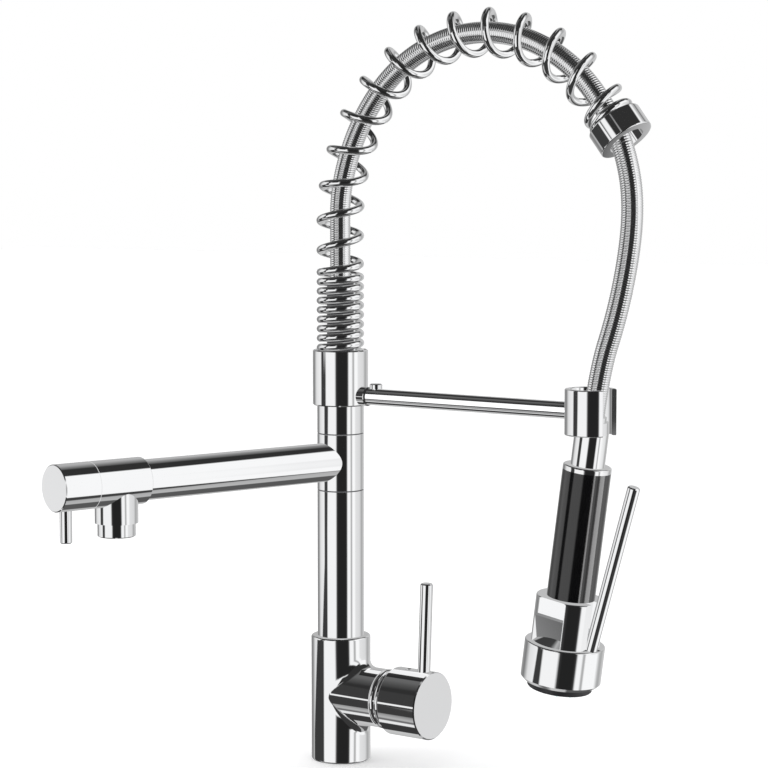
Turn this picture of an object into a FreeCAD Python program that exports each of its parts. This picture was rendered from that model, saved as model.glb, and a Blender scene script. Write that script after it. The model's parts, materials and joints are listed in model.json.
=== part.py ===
import FreeCAD, Part
import Sketcher
import math
import os
import re
from FreeCAD import Vector

# Pull-out kitchen mixer tap with a sprung hose, a fixed pot spout and a docked hand spray.
# Millimetres. Origin: centre of the base underside. +Z up, +X along the mixer branch and the hose arm.

SIZES = {
    # base and column
    "base_radius": 21.0,
    "base_height": 89.5,
    "base_edge": 1.5,
    "seal_inner": 16.0,
    "seal_outer": 19.0,
    "seal_thickness": 2.0,
    "stud_radius": 3.4,
    "stud_depth": 18.0,
    "stud_offset": 11.5,
    "inlet_radius": 4.5,
    "inlet_depth": 14.0,
    "inlet_offset": 9.5,
    "column_radius": 16.4,
    "column_wall": 1.9,
    "column_seat": 4.0,
    "column_length": 103.5,
    "riser_radius": 12.5,
    "riser_bore": 8.0,
    "riser_start": 70.0,
    "overrun": 1.0,
    "running_gap": 0.05,
    "seat_gap": 0.05,
    "face_gap": 0.1,
    "free_gap": 0.3,
    # spout
    "collar_height": 41.0,
    "slip_thickness": 0.8,
    "oring_section": 1.0,
    "oring_groove": 1.6,
    "oring_offset": 4.0,
    "spout_angle": -105.0,
    "spout_radius": 13.6,
    "spout_wall": 1.6,
    "spout_window": 8.0,
    "sleeve_before": 19.2,
    "sleeve_lap": 8.0,
    "sleeve_radius": 15.6,
    "sleeve_after": 20.6,
    "sleeve_edge": 0.6,
    "outlet_reach": 187.2,
    "outlet_radius": 14.3,
    "outlet_drop": 26.5,
    "outlet_bore": 11.3,
    "outlet_bore_start": 11.6,
    "aerator_radius": 12.6,
    "aerator_drop": 35.5,
    "aerator_skirt": 1.6,
    "aerator_lip": 1.4,
    "aerator_hole": 0.8,
    "aerator_hole_count": 8,
    "aerator_hole_pitch": 2.8,
    "aerator_thread": 6.0,
    "aerator_seal_inner": 7.3,
    "aerator_seal_thickness": 2.0,
    "headwork_radius": 10.4,
    "headwork_inside": 14.0,
    "headwork_outside": 7.0,
    "headwork_step": 1.5,
    "stem_floor": 4.0,
    "knob_gap": 0.4,
    "knob_length": 26.9,
    "knob_cavity": 12.0,
    "stem_radius": 4.0,
    "stem_grip": 14.0,
    "knob_pin_inset": 8.7,
    "knob_pin_radius": 4.0,
    "knob_pin_drop": 36.5,
    "knob_pin_root": 9.0,
    # mixer
    "mixer_height": 48.0,
    "branch_radius": 20.6,
    "branch_end": 39.0,
    "branch_fillet": 8.0,
    "cartridge_seat": 14.0,
    "cartridge_radius": 17.5,
    "cartridge_end": 32.0,
    "cartridge_cavity": 14.0,
    "cartridge_floor": 3.0,
    "disc_thickness": 3.0,
    "disc_radius": 12.2,
    "control_thickness": 3.9,
    "ball_radius": 1.8,
    "ball_reach": 22.4,
    "pocket_radius": 2.3,
    "pocket_below": 0.2,
    "pivot_reach": 27.0,
    "pivot_radius": 1.5,
    "pivot_inset": 1.0,
    "turret_radius": 13.5,
    "turret_step": 31.0,
    "turret_neck": 11.0,
    "turret_end": 38.0,
    "turret_slot": 3.4,
    "slot_below": 8.0,
    "slot_above": 3.6,
    "spindle_radius": 3.0,
    "spindle_neck": 1.4,
    "spindle_end": 66.0,
    "nut_end": 37.5,
    "bezel_radius": 20.9,
    "bezel_hole": 13.5,
    "bezel_end": 47.0,
    "bead_width": 3.6,
    "bead_rise": 0.9,
    "hub_start": 48.4,
    "hub_end": 80.0,
    "hub_radius": 23.7,
    "hub_cavity": 21.9,
    "hub_wall": 12.0,
    "hub_edge": 0.8,
    "boss_radius": 8.0,
    "boss_start": 54.0,
    "index_reach": 59.5,
    "index_radius": 3.0,
    "index_depth": 1.7,
    "dimple_radius": 1.7,
    "dimple_depth": 0.6,
    "grub_radius": 2.0,
    "grub_length": 4.5,
    "lever_reach": 72.0,
    "lever_radius": 4.4,
    "lever_top": 85.5,
    "lever_root": 16.0,
    "lever_lean": 2.0,
    # upper ferrule, arm and clip
    "upper_length": 19.5,
    "ferrule_length": 39.0,
    "ferrule_radius": 19.4,
    "ferrule_edge": 0.8,
    "spring_cup": 18.3,
    "spring_cup_depth": 9.5,
    "ferrule_web": 3.5,
    "riser_drop": 4.5,
    "tail_length": 13.0,
    "tail_flange": 10.5,
    "tail_flange_thickness": 3.0,
    "arm_above": 7.0,
    "arm_radius": 5.7,
    "arm_socket": 3.0,
    "arm_bead_radius": 6.7,
    "arm_bead_end": 25.6,
    "arm_bead_nose": 1.5,
    "arm_bead_round": 4.0,
    "screw_reach": 31.0,
    "screw_radius": 2.6,
    "screw_head_radius": 4.4,
    "screw_head": 3.6,
    "screw_head_edge": 0.6,
    "screw_depth": 4.0,
    "clip_reach": 205.0,
    "clip_radius": 17.0,
    "clip_wall": 3.0,
    "clip_height": 30.5,
    "clip_slot": 16.6,
    "clip_edge": 0.8,
    # spring, its guide and its end nut
    "wire_radius": 2.7,
    "coil_radius": 14.0,
    "coil_end_radius": 12.5,
    "tight_pitch": 6.6,
    "tight_turns": 9.0,
    "open_turns": 14.5,
    "closing_turns": 1.5,
    "opening_rate": 0.8,
    "closing_rate": 2.0,
    "first_openness": 0.6,
    "widening_rate": 0.09,
    "end_taper_turns": 0.5,
    "spring_seat_gap": 0.9,
    "guide_radius": 9.4,
    "guide_wall": 1.4,
    "guide_length": 63.5,
    "arch_rise": 99.5,
    "arch_radius_rise": 134.0,
    "arch_radius_fall": 113.2,
    "arch_turn_rise": 42.4,
    "arch_turn": 142.0,
    "arch_tail": 21.0,
    "nut_radius": 18.6,
    "nut_cup": 17.2,
    "nut_length": 16.0,
    "nut_floor": 10.0,
    "nut_hole": 12.3,
    "nut_edge": 0.8,
    # hose
    "hose_radius": 7.2,
    "hose_exit_turn": 18.0,
    "hose_exit_lead": 10.0,
    "hose_first_lead": 17.0,
    "hose_last_lead": 30.0,
    "hose_bend_share": 0.45,
    "crimp_radius": 8.6,
    "crimp_above": 3.0,
    "swivel_radius": 5.0,
    "swivel_bore": 3.2,
    # hand spray, measured upwards from its spray face
    "spray_drop": 188.1,
    "spray_tilt": 7.8,
    "spray_offset": 3.0,
    "spray_spin": -4.0,
    "plate_radius": 21.8,
    "plate_lip": 4.5,
    "plate_rim": 1.6,
    "plate_flange_radius": 23.6,
    "plate_flange": 2.5,
    "plate_hole": 2.6,
    "plate_sink": 4.4,
    "nozzle_radius": 1.15,
    "nozzle_stand": 0.9,
    "nozzle_outer": 17.0,
    "nozzle_inner": 14.0,
    "nozzle_count": 12,
    "head_radius": 26.8,
    "head_top": 32.0,
    "head_round": 1.0,
    "head_wall": 2.6,
    "head_chamfer": 2.4,
    "head_roof": 17.0,
    "shoulder_start": 22.0,
    "shoulder_end": 12.0,
    "shoulder_height": 4.5,
    "valve_radius": 22.9,
    "valve_top": 63.0,
    "valve_edge": 1.0,
    "side_flat": 20.3,
    "recess_top": 52.0,
    "recess_front": 10.2,
    "recess_back": 14.5,
    "recess_depth": 2.6,
    "recess_slope": 45.0,
    "recess_lean": 17.0,
    "lever_groove": 15.0,
    "lever_slot": 9.4,
    "lever_slot_inner": 13.0,
    "lever_slot_outer": 25.7,
    "grip_radius": 16.1,
    "grip_bore": 10.6,
    "grip_top": 149.0,
    "flange_top": 152.5,
    "flange_round": 1.2,
    "neck_radius": 11.3,
    "neck_top_radius": 10.3,
    "neck_taper": 174.5,
    "neck_top": 182.5,
    "neck_bore": 8.95,
    "neck_floor": 161.5,
    "waterway_start": 52.0,
    "waterway_radius": 6.6,
    "waterway_bore": 4.6,
    "trigger_radius": 4.2,
    "trigger_pivot_out": 20.2,
    "trigger_pivot_up": 26.5,
    "trigger_lean": 8.5,
    "trigger_length": 121.0,
    "trigger_edge": 0.8,
    "trigger_eye": 5.0,
    "trigger_eye_width": 7.2,
    "trigger_pin": 1.6,
    "trigger_pin_length": 20.0,
    "plunger_radius": 2.5,
    "plunger_up": 43.0,
    "plunger_inner": 3.0,
    "plunger_collar": 4.0,
    "plunger_collar_thickness": 1.5,
    "plunger_chamber": 4.6,
    "plunger_chamber_end": 11.5,
    "plunger_chamber_start": 6.0,
    "plunger_spring_radius": 3.3,
    "plunger_wire": 0.4,
    "plunger_spring_turns": 5,
}

# Heights up the column and places along the spout, each from the one before it
PLACES = {
    "swivel_low": "base_height + column_length",
    "swivel_high": "swivel_low + collar_height",
    "ferrule_low": "swivel_high + upper_length",
    "arm_height": "ferrule_low + arm_above",
    "ferrule_high": "ferrule_low + ferrule_length",
    "spring_seat": "ferrule_high - spring_cup_depth",
    "ferrule_floor": "spring_seat - ferrule_web",
    "riser_top": "ferrule_floor - riser_drop",
    "guide_top": "ferrule_floor + guide_length",
    "arch_start": "spring_seat + arch_rise",
    "sleeve_start": "outlet_reach - sleeve_before",
    "sleeve_end": "outlet_reach + sleeve_after",
    "knob_end": "sleeve_end + knob_length",
    "knob_pin_reach": "knob_end - knob_pin_inset",
}

doc = FreeCAD.newDocument("MixerTap")
sheet = doc.addObject("Spreadsheet::Sheet", "Sizes")
cells = [(alias, str(number)) for alias, number in SIZES.items()]
cells += [(alias, "=" + formula) for alias, formula in PLACES.items()]
for row, (alias, content) in enumerate(cells, start=1):
    sheet.set("A%d" % row, alias)
    sheet.set("B%d" % row, content)
    sheet.setAlias("B%d" % row, alias)
doc.recompute()

WORD = re.compile(r"\b(" + "|".join(alias for alias, content in cells) + r")\b")
nodes = {}


def bound(text):
    """Turn the size names of an expression into references to the sheet."""
    return WORD.sub(lambda match: "Sizes." + match.group(1), text)


def value(text):
    """The number that an expression of size names has now."""
    return float(sheet.evalExpression(bound(text)))


def spot(x, y, z):
    return "vector(%s; %s; %s)" % (x, y, z)


def turn(axis, angle):
    axes = {"X": "vector(1; 0; 0)", "Y": "vector(0; 1; 0)", "Z": "vector(0; 0; 1)"}
    return "rotation(%s; %s)" % (axes[axis], angle)


def frame(position, rotation):
    return "placement(%s; %s)" % (position, rotation)


ARCH_END_X = (
    "(arch_radius_rise * (1 - cos(arch_turn_rise))"
    " + arch_radius_fall * (cos(arch_turn_rise) - cos(arch_turn))"
    " + arch_tail * sin(arch_turn))"
)
ARCH_END_Z = (
    "(arch_start + arch_radius_rise * sin(arch_turn_rise)"
    " + arch_radius_fall * (sin(arch_turn) - sin(arch_turn_rise))"
    " + arch_tail * cos(arch_turn))"
)
SPOUT_HEIGHT = "((swivel_low + swivel_high) / 2)"
UPRIGHT = frame(spot("0", "0", "0"), turn("Z", "0"))
MIXER = frame(spot("0", "0", "mixer_height"), turn("Y", "90"))
SPOUT = frame(spot("0", "0", SPOUT_HEIGHT), turn("Z", "spout_angle") + " * " + turn("Y", "90"))
ARM = frame(spot("0", "0", "arm_height"), turn("Y", "90"))
CLIP = frame(spot("clip_reach", "0", "arm_height"), turn("Z", "0"))
NUT = frame(spot(ARCH_END_X, "0", ARCH_END_Z), turn("Y", "arch_turn"))
SPRAY = frame(
    spot("clip_reach + spray_offset - spray_drop * sin(spray_tilt)", "0",
         "arm_height - spray_drop * cos(spray_tilt)"),
    turn("Y", "spray_tilt") + " * " + turn("Z", "spray_spin"),
)


def keep(label, item, place=UPRIGHT):
    """Name a finished sub-part and put it in its place."""
    item.Label = label
    item.setExpression("Placement", bound(place))
    nodes[label] = item
    return item


def turned(name, profile):
    """A turned solid about its own Z axis from a closed profile of (radius, height) sizes.

    A third entry is the radius of a round that leads from the point before to this point, positive
    where it turns anticlockwise in the profile.
    """
    body = doc.addObject("PartDesign::Body", name)
    sketch = body.newObject("Sketcher::SketchObject", name + "_profile")
    plane = [feature for feature in body.Origin.OriginFeatures if feature.Role == "XZ_Plane"][0]
    sketch.AttachmentSupport = [(plane, "")]
    sketch.MapMode = "FlatFace"
    points = [Vector(value(point[0]), value(point[1]), 0) for point in profile]
    count = len(points)
    edges = []
    for index in range(count):
        start = points[index]
        end = points[(index + 1) % count]
        target = profile[(index + 1) % count]
        if len(target) > 2:
            edges.append(round_between(start, end, value(target[2])))
        else:
            edges.append(Part.LineSegment(start, end))
    sketch.addGeometry(edges, False)
    starts = []
    ends = []
    for index in range(count):
        backwards = len(profile[(index + 1) % count]) > 2 and value(profile[(index + 1) % count][2]) < 0
        starts.append(2 if backwards else 1)
        ends.append(1 if backwards else 2)
    rules = []
    names = []
    for index in range(count):
        following = (index + 1) % count
        rules.append(Sketcher.Constraint("Coincident", index, ends[index], following, starts[following]))
        names.append(None)
    for index, point in enumerate(profile):
        if point[0] == "0":
            rules.append(Sketcher.Constraint("PointOnObject", index, starts[index], -2))
            names.append(None)
        else:
            rules.append(Sketcher.Constraint("DistanceX", -1, 1, index, starts[index], points[index].x))
            names.append(("across%d" % index, point[0]))
        rules.append(Sketcher.Constraint("DistanceY", -1, 1, index, starts[index], points[index].y))
        names.append(("along%d" % index, point[1]))
        if len(point) > 2:
            before = (index - 1) % count
            rules.append(Sketcher.Constraint("Radius", before, abs(value(point[2]))))
            names.append(("round%d" % index, "abs(%s)" % point[2]))
    sketch.addConstraint(rules)
    for index, entry in enumerate(names):
        if entry:
            sketch.renameConstraint(index, entry[0])
            sketch.setExpression("Constraints." + entry[0], bound(entry[1]))
    solid = body.newObject("PartDesign::Revolution", name + "_turning")
    solid.Profile = sketch
    solid.ReferenceAxis = (sketch, ["V_Axis"])
    solid.Angle = 360.0
    body.Tip = solid
    return body


def round_between(start, end, radius):
    """An arc of the given radius from start to end, anticlockwise where the radius is positive."""
    chord = end.sub(start)
    middle = start.add(end).multiply(0.5)
    reach = math.sqrt(max(radius * radius - chord.Length * chord.Length / 4.0, 0.0))
    normal = Vector(-chord.y, chord.x, 0).normalize()
    side = 1.0 if radius > 0 else -1.0
    centre = middle.add(normal.multiply(side * reach))
    first, last = (start, end) if radius > 0 else (end, start)
    start_angle = math.atan2(first.y - centre.y, first.x - centre.x)
    end_angle = math.atan2(last.y - centre.y, last.x - centre.x)
    circle = Part.Circle(centre, Vector(0, 0, 1), abs(radius))
    if end_angle < start_angle:
        end_angle += 2 * math.pi
    return Part.ArcOfCircle(circle, start_angle, end_angle)


def rod(name, radius, length, position=("0", "0", "0"), rotation=turn("Z", "0")):
    """A round bar that starts at a position and runs along its turned Z axis."""
    item = doc.addObject("Part::Cylinder", name)
    item.setExpression("Radius", bound(radius))
    item.setExpression("Height", bound(length))
    item.setExpression("Placement", bound(frame(spot(*position), rotation)))
    return item


def block(name, sides, corner, rotation=turn("Z", "0")):
    """A rectangular block from its lowest corner."""
    item = doc.addObject("Part::Box", name)
    for side, size in zip(("Length", "Width", "Height"), sides):
        item.setExpression(side, bound(size))
    item.setExpression("Placement", bound(frame(spot(*corner), rotation)))
    return item


def less(name, base, tools):
    """The base with each tool taken away from it."""
    for index, tool in enumerate(tools):
        result = doc.addObject("Part::Cut", "%s_cut%d" % (name, index))
        result.Base = base
        result.Tool = tool
        base = result
    return base


def joined(name, items):
    """Several overlapping solids fused into one."""
    result = doc.addObject("Part::MultiFuse", name + "_joined")
    result.Shapes = items
    result.Refine = True
    return result


def together(name, items):
    """Separate solids that share one node."""
    result = doc.addObject("Part::Compound", name + "_group")
    result.Links = items
    return result


def ring(inner, outer, low, high):
    return [(inner, low), (outer, low), (outer, high), (inner, high)]


def bar(radius, low, high):
    return [("0", low), (radius, low), (radius, high), ("0", high)]


TO_X = turn("Y", "90")
TO_Y = turn("X", "-90")
DOWN = turn("X", "180")


# Base and column

def make_base():
    shell = turned("body_shell", [
        ("0", "0"),
        ("base_radius - base_edge", "0"),
        ("base_radius", "base_edge", "base_edge"),
        ("base_radius", "base_height - base_edge"),
        ("base_radius - base_edge", "base_height", "base_edge"),
        ("column_radius + seat_gap", "base_height"),
        ("column_radius + seat_gap", "base_height - column_seat"),
        ("riser_radius + seat_gap", "base_height - column_seat"),
        ("riser_radius + seat_gap", "riser_start"),
        ("0", "riser_start"),
    ])
    branch = rod("branch", "branch_radius", "branch_end", ("0", "0", "mixer_height"), TO_X)
    solid = joined("base_body", [shell, branch])
    doc.recompute()
    rounded = doc.addObject("Part::Fillet", "base_body_rounded")
    rounded.Base = solid
    fillet = value("branch_fillet")
    rounded.Edges = [(number, fillet, fillet) for number in saddle_edges(solid)]
    seat_length = "branch_end - cartridge_seat + overrun"
    bore = rod("cartridge_bore", "cartridge_radius + seat_gap", seat_length,
               ("cartridge_seat", "0", "mixer_height"), TO_X)
    groove = turned("seal_groove", ring(
        "seal_inner - seat_gap", "seal_outer + seat_gap", "-overrun", "seal_thickness"))
    stud = rod("stud_hole", "stud_radius", "stud_depth + overrun", ("-stud_offset", "0", "-overrun"))
    inlets = [
        rod("inlet_%s" % side, "inlet_radius", "inlet_depth + overrun",
            ("0", sign + "inlet_offset", "-overrun"))
        for side, sign in (("left", "0 + "), ("right", "0 - "))
    ]
    keep("lower_body", less("lower_body", rounded, [bore, groove, stud] + inlets))
    keep("base_seal", turned("base_seal", ring("seal_inner", "seal_outer", "0", "seal_thickness")))
    keep("column_tube", turned("column_tube", ring(
        "column_radius - column_wall", "column_radius", "base_height - column_seat", "swivel_low")))
    keep("riser_tube", turned("riser_tube", ring("riser_bore", "riser_radius", "riser_start", "riser_top")))
    keep("upper_tube", turned("upper_tube", ring(
        "riser_radius + seat_gap", "column_radius", "swivel_high", "ferrule_low - face_gap")))


def saddle_edges(item):
    """Numbers of the edges where the side branch leaves the upright body."""
    found = []
    for number, edge in enumerate(item.Shape.Edges, start=1):
        box = edge.BoundBox
        tall = box.ZLength > value("branch_radius")
        inner = box.XMax < value("base_radius") + value("base_edge")
        if tall and inner and box.XLength > value("overrun"):
            found.append(number)
    return found


# Mixer cartridge and lever handle

def make_mixer():
    floor = "cartridge_seat + cartridge_floor"
    disc_top = floor + " + disc_thickness"
    control_low = disc_top + " + face_gap"
    control_high = control_low + " + control_thickness"
    keep("cartridge_body", turned("cartridge_body", [
        ("0", "cartridge_seat"),
        ("cartridge_radius", "cartridge_seat"),
        ("cartridge_radius", "cartridge_end"),
        ("cartridge_cavity", "cartridge_end"),
        ("cartridge_cavity", floor),
        ("0", floor),
    ]), MIXER)
    keep("ceramic_seat_disc", turned("ceramic_seat_disc", bar(
        "cartridge_cavity - seat_gap", floor, disc_top)), MIXER)
    control = turned("control_blank", bar("disc_radius", control_low, control_high))
    pocket = rod("control_pocket", "pocket_radius", "control_thickness",
                 ("0", "0", "ball_reach - ball_radius - pocket_below"))
    keep("ceramic_control_disc", less("ceramic_control_disc", control, [pocket]), MIXER)

    turret = turned("turret_blank", [
        ("0", control_high + " + face_gap"),
        ("turret_radius", control_high + " + face_gap"),
        ("turret_radius", "turret_step"),
        ("turret_neck", "turret_step"),
        ("turret_neck", "turret_end"),
        ("0", "turret_end"),
    ])
    slot = block("turret_slot_cut", ("slot_below + slot_above", "2 * turret_slot", "turret_end"),
                 ("-slot_above", "-turret_slot", "cartridge_seat"))
    pin_hole = rod("turret_pin_hole", "pivot_radius + seat_gap", "2 * (turret_radius + overrun)",
                   ("0", "-turret_radius - overrun", "pivot_reach"), TO_Y)
    keep("cartridge_turret", less("cartridge_turret", turret, [slot, pin_hole]), MIXER)
    keep("spindle_pivot_pin", turned("spindle_pivot_pin", bar(
        "pivot_radius", "-turret_radius + pivot_inset", "turret_radius - pivot_inset")),
        MIXER + " * " + frame(spot("0", "0", "pivot_reach"), TO_Y))

    spindle = turned("spindle_blank", [
        ("0", "ball_reach - ball_radius"),
        ("ball_radius", "ball_reach", "ball_radius"),
        ("spindle_neck", "ball_reach + sqrt(ball_radius ^ 2 - spindle_neck ^ 2)", "ball_radius"),
        ("spindle_neck", "pivot_reach - spindle_radius"),
        ("spindle_radius", "pivot_reach - pivot_radius"),
        ("spindle_radius", "spindle_end"),
        ("0", "spindle_end"),
    ])
    spindle_hole = rod("spindle_hole", "pivot_radius + running_gap", "2 * turret_radius",
                       ("0", "-turret_radius", "pivot_reach"), TO_Y)
    keep("cartridge_spindle", less("cartridge_spindle", spindle, [spindle_hole]), MIXER)
    keep("cartridge_nut", turned("cartridge_nut", ring(
        "turret_neck + running_gap", "cartridge_radius", "cartridge_end", "nut_end")), MIXER)
    bead_round = "(bead_width ^ 2 / 4 + bead_rise ^ 2) / (2 * bead_rise)"
    keep("bezel_ring", turned("bezel_ring", [
        ("bezel_hole", "nut_end"),
        ("cartridge_radius", "nut_end"),
        ("cartridge_radius", "branch_end"),
        ("bezel_radius - bead_rise", "branch_end"),
        ("bezel_radius - bead_rise", "branch_end + bead_width", bead_round),
        ("bezel_radius - bead_rise", "bezel_end - bead_width"),
        ("bezel_radius - bead_rise", "bezel_end", bead_round),
        ("bezel_hole", "bezel_end"),
    ]), MIXER)

    hub = turned("hub_blank", [
        ("0", "boss_start"),
        ("boss_radius", "boss_start"),
        ("boss_radius", "hub_end - hub_wall"),
        ("hub_cavity", "hub_end - hub_wall"),
        ("hub_cavity", "hub_start"),
        ("hub_radius - hub_edge", "hub_start"),
        ("hub_radius", "hub_start + hub_edge"),
        ("hub_radius", "hub_end - hub_edge"),
        ("hub_radius - hub_edge", "hub_end"),
        ("0", "hub_end"),
    ])
    socket = rod("hub_socket", "spindle_radius + seat_gap", "spindle_end - boss_start + overrun + seat_gap",
                 ("0", "0", "boss_start - overrun"))
    index_hole = rod("hub_index_hole", "index_radius + seat_gap", "hub_radius",
                     ("-hub_cavity + index_depth", "0", "index_reach"), turn("Y", "-90"))
    grub_hole = rod("hub_grub_hole", "grub_radius + seat_gap", "boss_radius",
                    ("0", "0", "index_reach"), turn("Y", "-90"))
    pin_socket = rod("hub_pin_socket", "lever_radius + seat_gap", "hub_radius",
                     ("-lever_root", "0", "lever_reach"), turn("Y", "-90 + lever_lean"))
    keep("handle_hub", less("handle_hub", hub, [socket, index_hole, grub_hole, pin_socket]), MIXER)
    keep("handle_lever", turned("handle_lever", [
        ("0", "0"),
        ("lever_radius", "0"),
        ("lever_radius", "lever_top - lever_root - hub_edge"),
        ("lever_radius - hub_edge", "lever_top - lever_root"),
        ("0", "lever_top - lever_root"),
    ]), MIXER + " * " + frame(spot("-lever_root", "0", "lever_reach"), turn("Y", "-90 + lever_lean")))
    index_low = "hub_cavity - index_depth"
    keep("index_plug", turned("index_plug", [
        ("0", "0"),
        ("index_radius", "0"),
        ("index_radius", "hub_radius - (%s)" % index_low),
        ("dimple_radius", "hub_radius - (%s)" % index_low),
        ("dimple_radius - dimple_depth", "hub_radius - (%s) - dimple_depth" % index_low),
        ("0", "hub_radius - (%s) - dimple_depth" % index_low),
    ]), MIXER + " * " + frame(spot("-(%s)" % index_low, "0", "index_reach"), turn("Y", "-90")))
    keep("grub_screw", turned("grub_screw", bar("grub_radius", "0", "grub_length")),
         MIXER + " * " + frame(spot("-spindle_radius - seat_gap", "0", "index_reach"), turn("Y", "-90")))


# Spout

def make_spout():
    low = "swivel_low + slip_thickness + face_gap"
    high = "swivel_high - slip_thickness - face_gap"
    ring_low = low + " + oring_offset"
    ring_high = high + " - oring_offset"
    collar = turned("collar_blank", [
        ("riser_radius + running_gap", low),
        ("column_radius", low),
        ("column_radius", high),
        ("riser_radius + running_gap", high),
        ("riser_radius + running_gap", ring_high + " + oring_section"),
        ("riser_radius + oring_groove", ring_high + " + oring_section"),
        ("riser_radius + oring_groove", ring_high + " - oring_section"),
        ("riser_radius + running_gap", ring_high + " - oring_section"),
        ("riser_radius + running_gap", ring_low + " + oring_section"),
        ("riser_radius + oring_groove", ring_low + " + oring_section"),
        ("riser_radius + oring_groove", ring_low + " - oring_section"),
        ("riser_radius + running_gap", ring_low + " - oring_section"),
    ])
    window = rod("collar_window", "spout_window", "column_radius * 2", ("0", "0", SPOUT_HEIGHT), TO_X)
    keep("spout_collar", less("spout_collar", collar, [window]), frame(
        spot("0", "0", "0"), turn("Z", "spout_angle")))
    for label, height in (("lower_oring", ring_low), ("upper_oring", ring_high)):
        keep(label, turned(label, ring(
            "riser_radius + running_gap", "riser_radius + oring_groove - seat_gap",
            height + " - oring_section + face_gap", height + " + oring_section - face_gap")))
    keep("lower_slip_ring", turned("lower_slip_ring", ring(
        "riser_radius + seat_gap", "column_radius - free_gap", "swivel_low", "swivel_low + slip_thickness")))
    keep("upper_slip_ring", turned("upper_slip_ring", ring(
        "riser_radius + seat_gap", "column_radius - free_gap",
        "swivel_high - slip_thickness", "swivel_high")))

    pipe = turned("pipe_blank", ring(
        "spout_radius - spout_wall", "spout_radius", "0", "sleeve_start + sleeve_lap"))
    saddle = rod("pipe_saddle", "column_radius", "4 * column_radius", ("-2 * column_radius", "0", "0"), TO_X)
    keep("spout_pipe", less("spout_pipe", pipe, [saddle]), SPOUT)

    lap_end = "sleeve_start + sleeve_lap"
    chamber = "headwork_radius + seat_gap"
    shell = turned("sleeve_blank", [
        ("0", "sleeve_start"),
        ("sleeve_radius - sleeve_edge", "sleeve_start"),
        ("sleeve_radius", "sleeve_start + sleeve_edge"),
        ("sleeve_radius", "sleeve_end"),
        ("0", "sleeve_end"),
    ])
    boss = rod("outlet_boss", "outlet_radius", "outlet_drop", ("0", "0", "outlet_reach"), TO_X)
    housing = joined("outlet_housing", [shell, boss])
    lap = rod("sleeve_lap_bore", "spout_radius + seat_gap", "sleeve_lap + overrun",
              ("0", "0", "sleeve_start - overrun"))
    bore = rod("sleeve_bore", chamber, "sleeve_end - sleeve_start", ("0", "0", lap_end + " - overrun"))
    drop = rod("outlet_bore_cut", "outlet_bore", "outlet_drop",
               ("outlet_bore_start", "0", "outlet_reach"), TO_X)
    keep("outlet_housing", less("outlet_housing_bored", housing, [lap, bore, drop]), SPOUT)

    thread_low = "outlet_drop - aerator_thread"
    keep("aerator_ring", turned("aerator_ring", [
        ("outlet_bore - seat_gap - aerator_skirt", thread_low),
        ("outlet_bore - seat_gap", thread_low),
        ("outlet_bore - seat_gap", "outlet_drop"),
        ("aerator_radius", "outlet_drop"),
        ("aerator_radius", "aerator_drop - sleeve_edge"),
        ("aerator_radius - sleeve_edge", "aerator_drop"),
        ("outlet_bore - seat_gap - aerator_skirt - aerator_lip", "aerator_drop"),
        ("outlet_bore - seat_gap - aerator_skirt - aerator_lip", "aerator_drop - aerator_lip"),
        ("outlet_bore - seat_gap - aerator_skirt", "aerator_drop - aerator_lip"),
    ]), SPOUT + " * " + frame(spot("0", "0", "outlet_reach"), TO_X))
    disc = turned("aerator_disc", bar(
        "outlet_bore - 2 * seat_gap - aerator_skirt", thread_low, "aerator_drop - aerator_lip"))
    count = int(value("aerator_hole_count"))
    holes = [
        rod("aerator_hole_%d_%d" % (circle, index), "aerator_hole", "aerator_drop",
            ("%d * aerator_hole_pitch * cos(%f)" % (circle, 360.0 / count * index),
             "%d * aerator_hole_pitch * sin(%f)" % (circle, 360.0 / count * index), "0"))
        for circle in (1, 2) for index in range(count)
    ]
    screen = doc.addObject("Part::MultiFuse", "aerator_holes")
    screen.Shapes = holes
    keep("aerator_insert", less("aerator_insert", disc, [screen]),
         SPOUT + " * " + frame(spot("0", "0", "outlet_reach"), TO_X))
    keep("aerator_seal", turned("aerator_seal", ring(
        "aerator_seal_inner", "outlet_bore - seat_gap",
        thread_low + " - aerator_seal_thickness", thread_low)),
        SPOUT + " * " + frame(spot("0", "0", "outlet_reach"), TO_X))

    valve = turned("headwork_blank", [
        ("0", "sleeve_end - headwork_inside"),
        ("headwork_radius", "sleeve_end - headwork_inside"),
        ("headwork_radius", "sleeve_end"),
        ("headwork_radius - headwork_step", "sleeve_end"),
        ("headwork_radius - headwork_step", "sleeve_end + headwork_outside"),
        ("0", "sleeve_end + headwork_outside"),
    ])
    stem_bore = rod("headwork_bore", "stem_radius + running_gap", "headwork_inside + headwork_outside",
                    ("0", "0", "sleeve_end - headwork_inside + stem_floor"))
    keep("headwork_body", less("headwork_body", valve, [stem_bore]), SPOUT)
    keep("headwork_stem", turned("headwork_stem", bar(
        "stem_radius", "sleeve_end - headwork_inside + stem_floor + face_gap",
        "sleeve_end + stem_grip")), SPOUT)

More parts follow.
